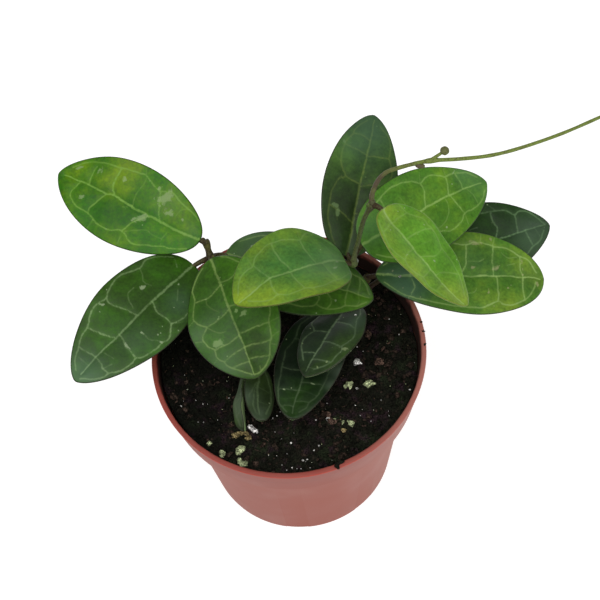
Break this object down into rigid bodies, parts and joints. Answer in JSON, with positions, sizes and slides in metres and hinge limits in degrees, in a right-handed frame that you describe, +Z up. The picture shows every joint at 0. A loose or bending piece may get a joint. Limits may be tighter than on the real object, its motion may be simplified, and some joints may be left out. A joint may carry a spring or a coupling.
{
  "type": "potted hoya plant",
  "caption": "Potted hoya: oval leathery leaves with pale net veins on thin stems and one long bare vine, in a tapered plastic nursery pot filled with dark peat.",
  "frame": {"origin": "centre of the pot's foot, on the surface that the pot stands on", "axes": "+Z up along the pot's axis, -Y towards the front of the plant, +X to its right, where the vine points"},
  "size_m": [0.2179, 0.127, 0.1721],
  "materials": {
    "pot_plastic": "satin terracotta-coloured plastic",
    "peat": "damp dark peat, matte",
    "green_stem": "olive green stem, satin",
    "brown_stem": "brown corky stem, matte",
    "bright_leaf": "light green waxy leaf",
    "fresh_leaf": "fresh green waxy leaf",
    "middle_leaf": "mid green waxy leaf",
    "dark_leaf": "dark green waxy leaf"
  },
  "bodies": {
    "root": {"pot": "pot_plastic", "soil": "peat", "stem_main": "green_stem", "stem_left": "brown_stem", "stem_right": "brown_stem", "stem_low": "brown_stem", "stem_shoot": "brown_stem", "leaf_upper_left": "fresh_leaf", "leaf_lower_left": "middle_leaf", "leaf_centre_left": "middle_leaf", "leaf_under_centre": "dark_leaf", "leaf_centre": "bright_leaf", "leaf_top": "dark_leaf", "leaf_right_upper": "fresh_leaf", "leaf_right_front": "bright_leaf", "leaf_right_lower": "fresh_leaf", "leaf_far_right": "dark_leaf", "leaf_low_upper": "dark_leaf", "leaf_low_lower": "dark_leaf", "leaf_small": "dark_leaf", "leaf_folded": "dark_leaf"}
  },
  "joints": []
}
